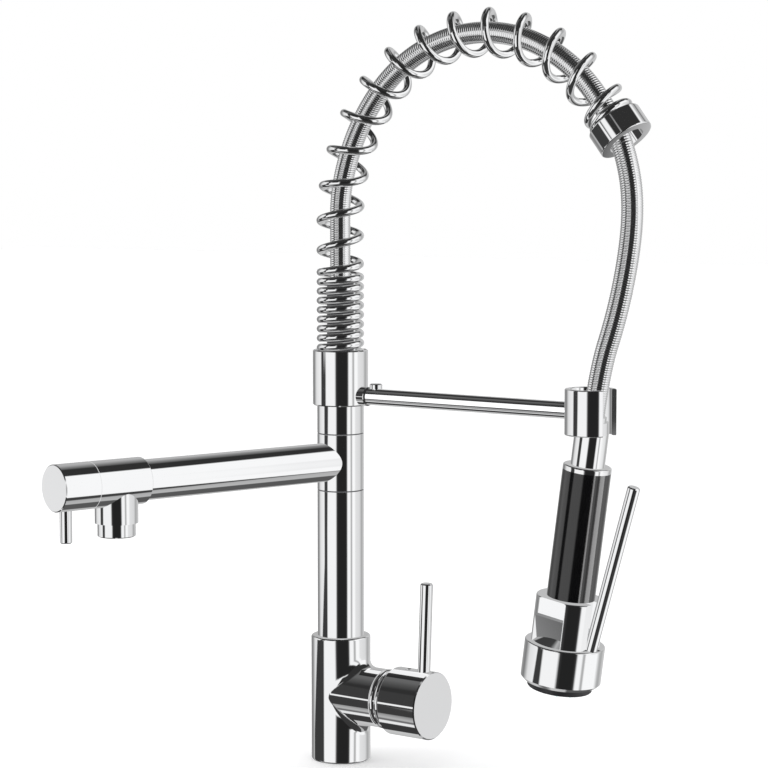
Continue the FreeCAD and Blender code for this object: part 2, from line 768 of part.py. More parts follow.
    start = "sleeve_end + knob_gap"
    knob = turned("knob_blank", [
        ("0", "sleeve_end + headwork_outside + knob_gap"),
        ("knob_cavity", "sleeve_end + headwork_outside + knob_gap"),
        ("knob_cavity", start),
        ("sleeve_radius", start),
        ("sleeve_radius", "knob_end - sleeve_edge"),
        ("sleeve_radius - sleeve_edge", "knob_end"),
        ("0", "knob_end"),
    ])
    stem_hole = rod("knob_stem_hole", "stem_radius + seat_gap", "stem_grip + seat_gap",
                    ("0", "0", "sleeve_end"))
    pin_hole = rod("knob_pin_hole", "knob_pin_radius + seat_gap", "sleeve_radius",
                   ("knob_pin_root", "0", "knob_pin_reach"), TO_X)
    keep("spout_knob", less("spout_knob", knob, [stem_hole, pin_hole]), SPOUT)
    keep("spout_knob_pin", turned("spout_knob_pin", [
        ("0", "0"),
        ("knob_pin_radius", "0"),
        ("knob_pin_radius", "knob_pin_drop - knob_pin_root - sleeve_edge"),
        ("knob_pin_radius - sleeve_edge", "knob_pin_drop - knob_pin_root"),
        ("0", "knob_pin_drop - knob_pin_root"),
    ]), SPOUT + " * " + frame(spot("knob_pin_root", "0", "knob_pin_reach"), TO_X))


# Upper ferrule, hose arm and hose clip

def make_upper():
    ferrule = turned("ferrule_blank", [
        ("riser_radius + running_gap", "ferrule_low"),
        ("ferrule_radius - ferrule_edge", "ferrule_low"),
        ("ferrule_radius", "ferrule_low + ferrule_edge"),
        ("ferrule_radius", "ferrule_high - ferrule_edge"),
        ("ferrule_radius - ferrule_edge", "ferrule_high"),
        ("spring_cup", "ferrule_high"),
        ("spring_cup", "spring_seat"),
        ("guide_radius + seat_gap", "spring_seat"),
        ("guide_radius + seat_gap", "ferrule_floor"),
        ("riser_radius + running_gap", "ferrule_floor"),
    ])
    socket = rod("ferrule_socket", "arm_radius + seat_gap", "ferrule_radius",
                 ("ferrule_radius - arm_socket", "0", "arm_height"), TO_X)
    keep("spring_ferrule", less("spring_ferrule", ferrule, [socket]))
    keep("hose_tail", turned("hose_tail", [
        ("0", "riser_top - tail_length"),
        ("riser_bore - running_gap", "riser_top - tail_length"),
        ("riser_bore - running_gap", "riser_top + face_gap"),
        ("tail_flange", "riser_top + face_gap"),
        ("tail_flange", "riser_top + face_gap + tail_flange_thickness"),
        ("0", "riser_top + face_gap + tail_flange_thickness"),
    ]))
    keep("spring_guide", turned("spring_guide", ring(
        "guide_radius - guide_wall", "guide_radius", "ferrule_floor", "guide_top")))

    bead = turned("arm_bead_blank", [
        ("arm_radius + seat_gap", "0"),
        ("arm_bead_radius", "0"),
        ("arm_bead_radius", "arm_bead_end - arm_bead_nose"),
        ("arm_radius + seat_gap", "arm_bead_end", "arm_bead_round"),
    ])
    bead_saddle = rod("arm_bead_saddle", "ferrule_radius", "4 * ferrule_radius",
                      ("-2 * ferrule_radius", "0", "0"), TO_X)
    screw_hole = rod("arm_screw_hole", "screw_radius + seat_gap", "arm_bead_radius + overrun",
                     ("0", "0", "screw_reach"), turn("Y", "-90"))
    keep("arm_collar", less("arm_collar", bead, [bead_saddle]), ARM)
    bar_blank = turned("arm_blank", bar("arm_radius", "ferrule_radius - arm_socket", "clip_reach"))
    clip_saddle = rod("arm_clip_saddle", "clip_radius + seat_gap", "4 * clip_radius",
                      ("-2 * clip_radius", "0", "clip_reach"), TO_X)
    keep("hose_arm", less("hose_arm", bar_blank, [clip_saddle, screw_hole]), ARM)
    keep("arm_screw", turned("arm_screw", [
        ("0", "arm_radius - screw_depth"),
        ("screw_radius", "arm_radius - screw_depth"),
        ("screw_radius", "arm_radius + face_gap"),
        ("screw_head_radius", "arm_radius + face_gap"),
        ("screw_head_radius", "arm_radius + screw_head - screw_head_edge"),
        ("screw_head_radius - screw_head_edge", "arm_radius + screw_head"),
        ("0", "arm_radius + screw_head"),
    ]), ARM + " * " + frame(spot("0", "0", "screw_reach"), turn("Y", "-90")))

    half = "clip_height / 2"
    inner = "clip_radius - clip_wall"
    clip = turned("clip_blank", [
        (inner + " + clip_edge", "-" + half, "clip_edge"),
        ("clip_radius - clip_edge", "-" + half),
        ("clip_radius", "-%s + clip_edge" % half, "clip_edge"),
        ("clip_radius", half + " - clip_edge"),
        ("clip_radius - clip_edge", half, "clip_edge"),
        (inner + " + clip_edge", half),
        (inner, half + " - clip_edge", "clip_edge"),
        (inner, "-%s + clip_edge" % half),
    ])
    mouth = block("clip_mouth", ("clip_radius + overrun", "clip_slot", "clip_height + 2 * overrun"),
                  ("0", "-clip_slot / 2", "-clip_height / 2 - overrun"))
    keep("hose_clip", less("hose_clip", clip, [mouth]), CLIP)

    keep("spring_end_nut", turned("spring_end_nut", [
        ("nut_cup", "0"),
        ("nut_radius - nut_edge", "0"),
        ("nut_radius", "nut_edge", "nut_edge"),
        ("nut_radius", "nut_length - nut_edge"),
        ("nut_radius - nut_edge", "nut_length", "nut_edge"),
        ("nut_hole", "nut_length"),
        ("nut_hole", "nut_length - nut_floor"),
        ("nut_cup", "nut_length - nut_floor"),
    ]), NUT)


# Spring and hose

def arch_point(distance):
    """Place and heading on the spring's centre line, from the spring seat upwards."""
    rise = value("arch_start") - value("spring_seat")
    first = math.radians(value("arch_turn_rise"))
    last = math.radians(value("arch_turn"))
    radius_rise = value("arch_radius_rise")
    radius_fall = value("arch_radius_fall")
    if distance <= rise:
        return Vector(0, 0, value("spring_seat") + distance), 0.0
    distance -= rise
    if distance <= radius_rise * first:
        heading = distance / radius_rise
        x = radius_rise * (1 - math.cos(heading))
        z = value("arch_start") + radius_rise * math.sin(heading)
        return Vector(x, 0, z), heading
    distance -= radius_rise * first
    heading = min(first + distance / radius_fall, last)
    x = radius_rise * (1 - math.cos(first)) + radius_fall * (math.cos(first) - math.cos(heading))
    z = value("arch_start") + radius_rise * math.sin(first)
    z += radius_fall * (math.sin(heading) - math.sin(first))
    beyond = max(distance - radius_fall * (last - first), 0.0)
    ahead = Vector(math.sin(last), 0, math.cos(last)).multiply(beyond)
    return Vector(x, 0, z).add(ahead), heading


def arch_length():
    rise = value("arch_start") - value("spring_seat")
    first = math.radians(value("arch_turn_rise"))
    last = math.radians(value("arch_turn"))
    curved = value("arch_radius_rise") * first + value("arch_radius_fall") * (last - first)
    return rise + curved + value("arch_tail")


def openness(turns):
    """How far the coils are drawn apart at a turn, from 0 where they are tight to 1 on the arch."""
    tight = value("tight_turns")
    opened = turns - tight
    left = tight + value("open_turns") - turns
    if opened <= 0 or left <= 0:
        return 0.0
    opening = opened * value("opening_rate")
    widening = value("first_openness") + value("widening_rate") * opened
    closing = left * value("closing_rate")
    return min(1.0, opening, widening, closing)


def coil_stations(steps):
    """Distance along the arch of each step of the winding."""
    total = value("tight_turns") + value("open_turns") + value("closing_turns")
    count = int(round(total * steps))
    clearance = value("wire_radius") + value("spring_seat_gap")
    reach = arch_length() + value("nut_length") - value("nut_floor") - 2 * clearance
    shares = [openness((index + 0.5) / steps) for index in range(count)]
    tight = value("tight_pitch") * count / steps
    extra = (reach - tight) / sum(shares)
    places = [clearance]
    for share in shares:
        places.append(places[-1] + value("tight_pitch") / steps + extra * share)
    return places


def coil_point(places, steps, step):
    """A point of the wire's centre line, at a whole or part step of the winding."""
    lower = min(int(math.floor(step)), len(places) - 2)
    part = step - lower
    distance = places[lower] + (places[lower + 1] - places[lower]) * part
    centre, heading = arch_point(distance)
    across = Vector(math.cos(heading), 0, -math.sin(heading))
    sideways = Vector(0, 1, 0)
    ends = min(step, len(places) - 1 - step) / steps
    blend = min(1.0, ends / value("end_taper_turns"))
    blend = blend * blend * (3 - 2 * blend)
    radius = value("coil_end_radius") + (value("coil_radius") - value("coil_end_radius")) * blend
    angle = 2 * math.pi * step / steps + math.pi
    across.multiply(radius * math.cos(angle))
    sideways.multiply(radius * math.sin(angle))
    return centre.add(across).add(sideways)


def biarc(start, start_way, end, end_way):
    """Two tangent arcs from start to end that leave and arrive along the given ways."""
    chord = end.sub(start)
    ways = start_way.add(end_way)
    inner = chord.dot(ways)
    spread = 2 * (1 - start_way.dot(end_way))
    if abs(spread) < 1e-9:
        leg = chord.dot(chord) / (4 * chord.dot(end_way))
    else:
        leg = (-inner + math.sqrt(inner * inner + spread * chord.dot(chord))) / spread
    first = start.add(Vector(start_way).multiply(leg))
    last = end.sub(Vector(end_way).multiply(leg))
    middle = first.add(last).multiply(0.5)
    back = Vector(end_way).multiply(-1)
    return [tangent_arc(start, start_way, middle), tangent_arc(end, back, middle, True)]


def tangent_arc(start, way, end, reverse=False):
    """The arc that leaves start along a way and reaches end."""
    chord = end.sub(start)
    normal = chord.sub(Vector(way).multiply(chord.dot(way)))
    if normal.Length < 1e-7:
        return Part.makeLine(end, start) if reverse else Part.makeLine(start, end)
    normal.normalize()
    radius = chord.dot(chord) / (2 * chord.dot(normal))
    centre = start.add(Vector(normal).multiply(radius))
    half = start.sub(centre).add(end.sub(centre))
    if half.Length < 1e-7:
        half = Vector(way)
    middle = centre.add(half.normalize().multiply(radius))
    if reverse:
        return Part.Arc(end, middle, start).toShape()
    return Part.Arc(start, middle, end).toShape()


def tube(path, radius, way):
    """A solid round bar along a path that starts along the given way."""
    wire = Part.Wire(path)
    start = wire.OrderedVertexes[0].Point
    section = Part.Wire([Part.makeCircle(radius, start, way)])
    shell = Part.BRepOffsetAPI.MakePipeShell(wire)
    shell.add(section)
    shell.build()
    shell.makeSolid()
    solid = shell.shape()
    return solid if solid.ShapeType == "Solid" else solid.Solids[0]


def make_spring():
    steps = 4
    places = coil_stations(steps)
    count = len(places) - 1
    small = 0.01
    points = [coil_point(places, steps, step) for step in range(count + 1)]
    ways = []
    for step in range(count + 1):
        before = coil_point(places, steps, max(step - small, 0))
        after = coil_point(places, steps, min(step + small, count))
        ways.append(after.sub(before).normalize())
    straight = 2 * value("wire_radius")
    first = points[0].sub(Vector(ways[0]).multiply(straight))
    last = points[-1].add(Vector(ways[-1]).multiply(straight))
    path = [Part.makeLine(first, points[0])]
    for step in range(count):
        path.extend(biarc(points[step], ways[step], points[step + 1], ways[step + 1]))
    path.append(Part.makeLine(points[-1], last))
    report_gap(path)
    item = doc.addObject("Part::Feature", "hose_spring")
    item.Shape = tube(path, value("wire_radius"), ways[0])
    item.Label = "hose_spring"
    nodes["hose_spring"] = item


def report_gap(path):
    """Print the least gap between one turn of the wire and the next, measured on points."""
    samples = []
    travelled = 0.0
    parts = 6
    reach = 130
    for edge in path:
        ends = sorted(edge.ParameterRange)
        for index in range(parts):
            samples.append(edge.valueAt(ends[0] + (ends[1] - ends[0]) * index / parts))
    lengths = [0.0]
    for index in range(1, len(samples)):
        travelled += samples[index].distanceToPoint(samples[index - 1])
        lengths.append(travelled)
    apart = math.pi * value("coil_end_radius")
    least = min(
        samples[a].distanceToPoint(samples[b])
        for a in range(len(samples)) for b in range(a + 1, min(a + reach, len(samples)))
        if lengths[b] - lengths[a] > apart
    )
    print("spring: least gap between turns %.2f mm" % (least - 2 * value("wire_radius")))


# Free hose between the spring's end nut and the hand spray, in the plane of the arm: x, and height
# above the arm, of the points between its two straight leads
FREE_HOSE_POINTS = [
    (235.8, 131.5),
    (232.8, 101.5),
    (224.6, 64.5),
]


def make_hose():
    radius = value("hose_radius")
    tail = value("riser_top + face_gap + tail_flange_thickness")
    rise = value("arch_radius_rise")
    fall = value("arch_radius_fall")
    first = math.radians(value("arch_turn_rise"))
    last = math.radians(value("arch_turn"))
    seat = value("spring_seat")
    start = Vector(0, 0, tail)
    straight = value("arch_start") - seat
    stations = [straight, straight + rise * first / 2, straight + rise * first,
                straight + rise * first + fall * (last - first) / 2, arch_length() - value("arch_tail")]
    points = [arch_point(station)[0] for station in stations]
    bend_start = arch_point(arch_length() - value("hose_exit_lead"))[0]
    exit_turn = math.radians(value("hose_exit_turn"))
    bend = value("hose_exit_lead + nut_length") / exit_turn
    exits = []
    for share in (0.5, 1.0):
        turned_by = last + share * exit_turn
        x = bend_start.x + bend * (math.cos(last) - math.cos(turned_by))
        z = bend_start.z + bend * (math.sin(turned_by) - math.sin(last))
        exits.append(Vector(x, 0, z))
    nut_end = exits[1]
    leaving = Vector(math.sin(turned_by), 0, math.cos(turned_by))
    path = [
        Part.makeLine(start, points[0]),
        Part.Arc(points[0], points[1], points[2]).toShape(),
        Part.Arc(points[2], points[3], points[4]).toShape(),
        Part.makeLine(points[4], bend_start),
        Part.Arc(bend_start, exits[0], exits[1]).toShape(),
    ]
    item = doc.addObject("Part::Feature", "hose_in_spring")
    item.Shape = tube(path, radius, Vector(0, 0, 1))
    item.Label = "hose_in_spring"
    nodes["hose_in_spring"] = item
    check_tube("hose_in_spring", item.Shape, path, radius)

    tilt = math.radians(value("spray_tilt"))
    up = value("spray_drop") - value("neck_top") - value("crimp_above")
    clip = value("clip_reach + spray_offset")
    end = Vector(clip - up * math.sin(tilt), 0, value("arm_height") - up * math.cos(tilt))
    first_lead = nut_end.add(Vector(leaving).multiply(value("hose_first_lead")))
    upwards = Vector(math.sin(tilt), 0, math.cos(tilt))
    last_lead = end.add(upwards.multiply(value("hose_last_lead")))
    between = [Vector(x, 0, value("arm_height") + z) for x, z in FREE_HOSE_POINTS]
    route = [nut_end, first_lead] + between + [last_lead, end]
    path = rounded_route(route)
    item = doc.addObject("Part::Feature", "free_hose")
    item.Shape = tube(path, radius, leaving)
    item.Label = "free_hose"
    nodes["free_hose"] = item
    check_tube("free_hose", item.Shape, path, radius)


def rounded_route(route):
    """Straight runs joined by tangent arcs, each arc as large as its two runs allow."""
    path = []
    here = route[0]
    for index in range(1, len(route) - 1):
        before = route[index].sub(route[index - 1])
        after = route[index + 1].sub(route[index])
        angle = before.getAngle(after)
        leg = value("hose_bend_share") * min(before.Length, after.Length)
        radius = leg / math.tan(angle / 2)
        start = route[index].sub(Vector(before).normalize().multiply(leg))
        stop = route[index].add(Vector(after).normalize().multiply(leg))
        path.append(Part.makeLine(here, start))
        path.append(tangent_arc(start, Vector(before).normalize(), stop))
        print("hose bend %d: radius %.0f mm" % (index, radius))
        here = stop
    path.append(Part.makeLine(here, route[-1]))
    return path


def check_tube(name, solid, path, radius):
    """Compare a tube's volume with its section times its length."""
    length = sum(edge.Length for edge in path)
    print("%s: length %.1f mm, volume %.4f of section times length"
          % (name, length, solid.Volume / (math.pi * radius * radius * length)))


# Hand spray

def thumb_recess(side, corner, sign, half_turn):
    """Blocks for one thumb recess: a floor that leans inward to the foot, under a slope from the flat."""
    around = turn("Z", half_turn) + " * "
    floor_top = "(recess_top - recess_depth * tan(recess_slope))"
    floor_rise = "(%s - head_top)" % floor_top
    floor_foot = "(side_flat - recess_depth - %s * tan(recess_lean))" % floor_rise
    slope_foot = "(side_flat - recess_depth + 2 * recess_depth * sin(recess_slope))"
    slope_low = "%s - 2 * recess_depth * cos(recess_slope)" % floor_top
    floor = block("recess_floor_" + side,
                  ("recess_front + recess_back", "valve_radius", floor_rise + " / cos(recess_lean)"),
                  (corner, sign + floor_foot, "head_top"), around + turn("X", "-recess_lean"))
    slope = block("recess_slope_" + side,
                  ("recess_front + recess_back", "recess_depth / cos(recess_slope) + overrun",
                   "2 * recess_depth"),
                  (corner, sign + slope_foot, slope_low), around + turn("X", "recess_slope"))
    return [floor, slope]


def make_spray():
    head = turned("head_blank", [
        ("0", "head_top - head_roof"),
        ("head_radius - head_wall", "head_top - head_roof"),
        ("head_radius - head_wall", "plate_lip"),
        ("head_radius - head_chamfer", "plate_lip"),
        ("head_radius", "plate_lip + head_chamfer"),
        ("head_radius", "head_top - head_round"),
        ("head_radius - head_round", "head_top", "head_round"),
        ("shoulder_start", "head_top"),
        ("shoulder_end", "head_top + shoulder_height"),
        ("0", "head_top + shoulder_height"),
    ])
    inlet = rod("head_inlet", "waterway_bore", "head_roof + shoulder_height + 2 * overrun",
                ("0", "0", "head_top - head_roof - overrun"))
    slot = block("head_lever_slot", ("lever_slot_outer - lever_slot_inner", "lever_slot", "head_roof"),
                 ("lever_slot_inner", "-lever_slot / 2", "trigger_pivot_up - trigger_eye - free_gap"))
    pin_hole = rod("head_pin_hole", "trigger_pin + seat_gap", "trigger_pin_length + 2 * free_gap",
                   ("trigger_pivot_out", "-trigger_pin_length / 2 - free_gap", "trigger_pivot_up"), TO_Y)
    keep("spray_head", less("spray_head", head, [inlet, slot, pin_hole]), SPRAY)

    plate = turned("plate_blank", [
        ("0", "0"),
        ("plate_radius - plate_rim", "0"),
        ("plate_radius", "plate_rim", "plate_rim"),
        ("plate_radius", "plate_lip"),
        ("plate_flange_radius", "plate_lip"),
        ("plate_flange_radius", "plate_lip + plate_flange"),
        ("0", "plate_lip + plate_flange"),
    ])
    through = "plate_lip + plate_flange + 2 * overrun"
    bore = rod("plate_bore", "plate_hole", through, ("0", "0", "-overrun"))
    sink = doc.addObject("Part::Cone", "plate_countersink")
    sink.setExpression("Radius1", bound("plate_sink"))
    sink.setExpression("Radius2", bound("plate_hole"))
    sink.setExpression("Height", bound("plate_sink - plate_hole"))
    holes = doc.addObject("Part::MultiFuse", "nozzle_holes")
    holes.Shapes = nozzle_rods("nozzle_hole", "nozzle_radius + seat_gap", "-overrun", through)
    keep("face_plate", less("face_plate", plate, [bore, sink, holes]), SPRAY)
    stand = "plate_lip + plate_flange + nozzle_stand"
    tips = nozzle_rods("nozzle", "nozzle_radius", "-nozzle_stand", stand)
    keep("spray_nozzles", together("spray_nozzles", tips), SPRAY)

    valve = turned("valve_blank", [
        ("0", "head_top + shoulder_height"),
        ("shoulder_end", "head_top + shoulder_height"),
        ("shoulder_start", "head_top"),
        ("valve_radius", "head_top"),
        ("valve_radius", "valve_top - valve_edge"),
        ("valve_radius - valve_edge", "valve_top", "valve_edge"),
        ("0", "valve_top"),
    ])
    low = "head_top - overrun"
    height = "valve_top - head_top + 2 * overrun"
    cuts = []
    for side, corner in (("left", "side_flat"), ("right", "-side_flat - valve_radius")):
        cuts.append(block("valve_flat_" + side, ("2 * valve_radius", "valve_radius", height),
                          ("-valve_radius", corner, low)))
    cuts.append(block("valve_flat_front", ("valve_radius", "2 * valve_radius", height),
                      ("side_flat", "-valve_radius", low)))
    cuts.append(block("valve_lever_groove", ("valve_radius", "lever_slot", height),
                      ("lever_groove", "-lever_slot / 2", low)))
    cuts.extend(thumb_recess("left", "-recess_back", "", "0"))
    cuts.extend(thumb_recess("right", "recess_front", "-", "180"))
    cuts.append(rod("valve_bore", "waterway_radius + seat_gap", "valve_top - waterway_start + overrun",
                    ("0", "0", "waterway_start")))
    cuts.append(rod("valve_outlet", "waterway_bore", "plunger_up - head_top", ("0", "0", low)))
    cuts.append(rod("plunger_bore", "plunger_radius + running_gap", "valve_radius",
                    ("0", "0", "plunger_up"), TO_X))
    cuts.append(rod("plunger_chamber_cut", "plunger_chamber", "plunger_chamber_end + plunger_chamber_start",
                    ("-plunger_chamber_start", "0", "plunger_up"), TO_X))
    keep("valve_body", less("valve_body", valve, cuts), SPRAY)

    keep("grip", turned("grip", [
        ("grip_bore", "valve_top"),
        ("grip_radius", "valve_top"),
        ("grip_radius", "grip_top"),
        ("grip_bore", "grip_top"),
    ]), SPRAY)
    keep("grip_flange", turned("grip_flange", [
        ("waterway_radius + seat_gap", "grip_top"),
        ("grip_radius", "grip_top"),
        ("grip_radius", "flange_top - flange_round"),
        ("grip_radius - flange_round", "flange_top", "flange_round"),
        ("waterway_radius + seat_gap", "flange_top"),
    ]), SPRAY)
    keep("waterway_tube", turned("waterway_tube", ring(
        "waterway_bore", "waterway_radius", "waterway_start", "flange_top")), SPRAY)
    keep("handset_neck", turned("handset_neck", [
        ("swivel_radius + running_gap", "flange_top"),
        ("neck_radius", "flange_top"),
        ("neck_radius", "neck_taper"),
        ("neck_top_radius", "neck_top"),
        ("neck_bore", "neck_top"),
        ("neck_bore", "neck_floor"),
        ("swivel_radius + running_gap", "neck_floor"),
    ]), SPRAY)
    keep("hose_crimp", turned("hose_crimp", [
        ("0", "neck_floor + face_gap"),
        ("crimp_radius", "neck_floor + face_gap"),
        ("crimp_radius", "neck_top + crimp_above"),
        ("0", "neck_top + crimp_above"),
    ]), SPRAY)
    keep("hose_swivel", turned("hose_swivel", ring(
        "swivel_bore", "swivel_radius", "flange_top + face_gap", "neck_floor + face_gap")), SPRAY)


def nozzle_rods(name, radius, low, length):
    """Nozzle-sized rods on two circles, set alternately."""
    count = int(value("nozzle_count"))
    rods = []
    for index in range(2 * count):
        circle = "nozzle_outer" if index % 2 == 0 else "nozzle_inner"
        angle = 360.0 / (2 * count) * index
        place = ("%s * cos(%.3f)" % (circle, angle), "%s * sin(%.3f)" % (circle, angle), low)
        rods.append(rod("%s_%d" % (name, index), radius, length, place))
    return rods


def make_trigger():
    lean = turn("Y", "trigger_lean")
    stem = turned("trigger_stem", [
        ("0", "0"),
        ("trigger_radius", "0"),
        ("trigger_radius", "trigger_length - trigger_edge"),
        ("trigger_radius - trigger_edge", "trigger_length"),
        ("0", "trigger_length"),
    ])
    eye = rod("trigger_eye", "trigger_eye", "trigger_eye_width", ("0", "-trigger_eye_width / 2", "0"), TO_Y)
    solid = joined("trigger", [stem, eye])
    hole = rod("trigger_pin_bore", "trigger_pin + running_gap", "2 * trigger_eye_width",
               ("0", "-trigger_eye_width", "0"), TO_Y)
    place = SPRAY + " * " + frame(spot("trigger_pivot_out", "0", "trigger_pivot_up"), lean)
    keep("trigger_lever", less("trigger_lever", solid, [hole]), place)
    half = "trigger_pin_length / 2"
    pin_place = SPRAY + " * " + frame(spot("trigger_pivot_out", "0", "trigger_pivot_up"), TO_Y)
    keep("trigger_pin", turned("trigger_pin", bar("trigger_pin", "-" + half, half)), pin_place)
    across = SPRAY + " * " + frame(spot("0", "0", "plunger_up"), TO_X)
    rise = "(plunger_up - trigger_pivot_up)"
    lever_face = "trigger_pivot_out + %s * tan(trigger_lean) - trigger_radius / cos(trigger_lean)" % rise
    tip = lever_face + " - plunger_radius * tan(trigger_lean) - free_gap"
    keep("valve_plunger", turned("valve_plunger", [
        ("0", "plunger_inner"),
        ("plunger_collar", "plunger_inner"),
        ("plunger_collar", "plunger_inner + plunger_collar_thickness"),
        ("plunger_radius", "plunger_inner + plunger_collar_thickness"),
        ("plunger_radius", tip),
        ("0", tip),
    ]), across)


def make_plunger_spring():
    """The small return spring behind the plunger's collar, wound about the plunger's axis."""
    steps = 4
    radius = value("plunger_spring_radius")
    wire = value("plunger_wire")
    clearance = wire + value("face_gap")
    low = -value("plunger_chamber_start") + clearance
    high = value("plunger_inner") - clearance
    count = steps * int(value("plunger_spring_turns"))
    pitch = (high - low) / count
    points = []
    ways = []
    for step in range(count + 1):
        angle = 2 * math.pi * step / steps
        points.append(Vector(radius * math.cos(angle), radius * math.sin(angle), low + pitch * step))
        around = radius * 2 * math.pi / steps
        ways.append(Vector(-around * math.sin(angle), around * math.cos(angle), pitch).normalize())
    path = [Part.makeLine(points[0].sub(Vector(ways[0]).multiply(2 * wire)), points[0])]
    for step in range(count):
        path.extend(biarc(points[step], ways[step], points[step + 1], ways[step + 1]))
    path.append(Part.makeLine(points[-1], points[-1].add(Vector(ways[-1]).multiply(2 * wire))))
    item = doc.addObject("Part::Feature", "plunger_spring")
    item.Shape = tube(path, wire, ways[0])
    keep("plunger_spring", item, SPRAY + " * " + frame(spot("0", "0", "plunger_up"), TO_X))
    print("plunger spring: least gap between turns %.2f mm" % (pitch * steps - 2 * wire))


make_base()
make_mixer()
make_spout()
make_upper()
make_spring()
make_hose()
make_spray()
make_trigger()
make_plunger_spring()
doc.recompute()

# Every object has to be sound before anything is written
faults = [item.Name for item in doc.Objects if "Invalid" in item.State or "Error" in item.State]
for label, item in nodes.items():
    if item.Shape.isNull() or not item.Shape.isValid() or not item.Shape.Solids:
        faults.append(label)
if faults:
    raise RuntimeError("faulty objects: " + ", ".join(sorted(set(faults))))

os.makedirs("parts", exist_ok=True)
for label, item in nodes.items():
    item.Shape.exportStep("parts/%s.step" % label)
print("%d sub-parts written" % len(nodes))
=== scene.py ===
import json
import math
import bmesh
import bpy
from mathutils import Euler, Matrix, Vector


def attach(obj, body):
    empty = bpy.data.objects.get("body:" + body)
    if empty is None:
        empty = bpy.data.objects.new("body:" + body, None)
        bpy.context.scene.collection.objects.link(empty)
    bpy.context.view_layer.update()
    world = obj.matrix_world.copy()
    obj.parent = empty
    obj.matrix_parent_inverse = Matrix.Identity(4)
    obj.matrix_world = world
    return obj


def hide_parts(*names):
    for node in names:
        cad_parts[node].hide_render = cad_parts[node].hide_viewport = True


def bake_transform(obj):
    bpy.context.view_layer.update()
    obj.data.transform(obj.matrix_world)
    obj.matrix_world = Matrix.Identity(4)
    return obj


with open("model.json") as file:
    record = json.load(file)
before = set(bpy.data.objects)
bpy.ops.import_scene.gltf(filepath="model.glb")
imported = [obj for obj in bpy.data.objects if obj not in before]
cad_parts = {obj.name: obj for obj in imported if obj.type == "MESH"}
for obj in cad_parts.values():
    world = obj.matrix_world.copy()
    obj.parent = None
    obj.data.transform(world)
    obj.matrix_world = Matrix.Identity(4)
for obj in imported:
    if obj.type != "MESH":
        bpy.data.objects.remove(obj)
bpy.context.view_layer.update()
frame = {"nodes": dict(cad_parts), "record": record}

# Camera at the photograph's angle

CAMERA_AZIMUTH = math.radians(36.0)
CAMERA_PITCH = math.radians(5.14)
CAMERA_PLACE = (1.0148, -1.3446, 0.4195)
CAMERA_LENS = 112.5
CAMERA_SENSOR = 36.0
CAMERA_REACH = 60.0

camera_data = bpy.data.cameras.new("camera")
camera_data.lens = CAMERA_LENS
camera_data.sensor_width = CAMERA_SENSOR
camera_data.clip_end = CAMERA_REACH
camera = bpy.data.objects.new("camera", camera_data)
camera.location = CAMERA_PLACE
camera.rotation_euler = Euler((math.pi / 2 - CAMERA_PITCH, 0.0, CAMERA_AZIMUTH))
bpy.context.scene.collection.objects.link(camera)
bpy.context.scene.camera = camera

# Routes of the hose, in metres, in the plane of the arm

FREE_HOSE_ROUTE = [
    (0.2272, 0.4349),
    (0.2330, 0.4189),
    (0.2358, 0.3920),
    (0.2328, 0.3620),
    (0.2246, 0.3250),
    (0.2117, 0.2877),
    (0.20765, 0.2579),
]
SPRING_HOSE_ROUTE = [
    (0.0000, 0.2785),
    (0.0000, 0.3300),
    (0.0000, 0.3680),
    (0.0000, 0.4076),
    (0.0182, 0.4543),
    (0.0519, 0.4913),
    (0.0980, 0.5105),
    (0.1479, 0.5086),
    (0.1924, 0.4859),
    (0.2227, 0.4472),
    (0.2272, 0.4349),
]
CURVE_STEPS = 24
HOSE_RADIUS = 0.0072

# The hand spray's own frame, from its spray face upwards

SPRAY_TILT = math.radians(7.8)
SPRAY_SPIN = math.radians(-4.0)
SPRAY_ORIGIN = Vector((0.18247, 0.0, 0.07414))
SPRAY_FRAME = (
    Matrix.Translation(SPRAY_ORIGIN)
    @ Matrix.Rotation(SPRAY_TILT, 4, "Y")
    @ Matrix.Rotation(SPRAY_SPIN, 4, "Z")
)


# Node helpers

TINT_STOPS = (0.3, 0.7)


def new_material(name):
    material = bpy.data.materials.new(name)
    material.use_nodes = True
    nodes = material.node_tree.nodes
    return material, nodes, material.node_tree.links, nodes["Principled BSDF"]


def noise(nodes, links, scale, detail, roughness=0.55):
    coordinates = nodes.new("ShaderNodeTexCoord")
    texture = nodes.new("ShaderNodeTexNoise")
    texture.inputs["Scale"].default_value = scale
    texture.inputs["Detail"].default_value = detail
    texture.inputs["Roughness"].default_value = roughness
    links.new(coordinates.outputs["Object"], texture.inputs["Vector"])
    return texture


def ranged(nodes, links, source, low, high, start=0.35, end=0.65):
    mapping = nodes.new("ShaderNodeMapRange")
    mapping.inputs["From Min"].default_value = start
    mapping.inputs["From Max"].default_value = end
    mapping.inputs["To Min"].default_value = low
    mapping.inputs["To Max"].default_value = high
    links.new(source, mapping.inputs["Value"])
    return mapping.outputs["Result"]


def tinted(nodes, links, source, first, second):
    ramp = nodes.new("ShaderNodeValToRGB")
    for element, position, colour in zip(ramp.color_ramp.elements, TINT_STOPS, (first, second)):
        element.position = position
        element.color = (*colour, 1.0)
    links.new(source, ramp.inputs["Fac"])
    return ramp.outputs["Color"]


def bumped(nodes, links, bsdf, height, strength, distance):
    bump = nodes.new("ShaderNodeBump")
    bump.inputs["Strength"].default_value = strength
    bump.inputs["Distance"].default_value = distance
    links.new(height, bump.inputs["Height"])
    links.new(bump.outputs["Normal"], bsdf.inputs["Normal"])


# Materials

BROAD_DETAIL = 3.0
FINE_DETAIL = 6.0
FINE_ROUGHNESS = 0.7
FINE_TO_BROAD = 6.0
GRAIN_DETAIL = 2.0


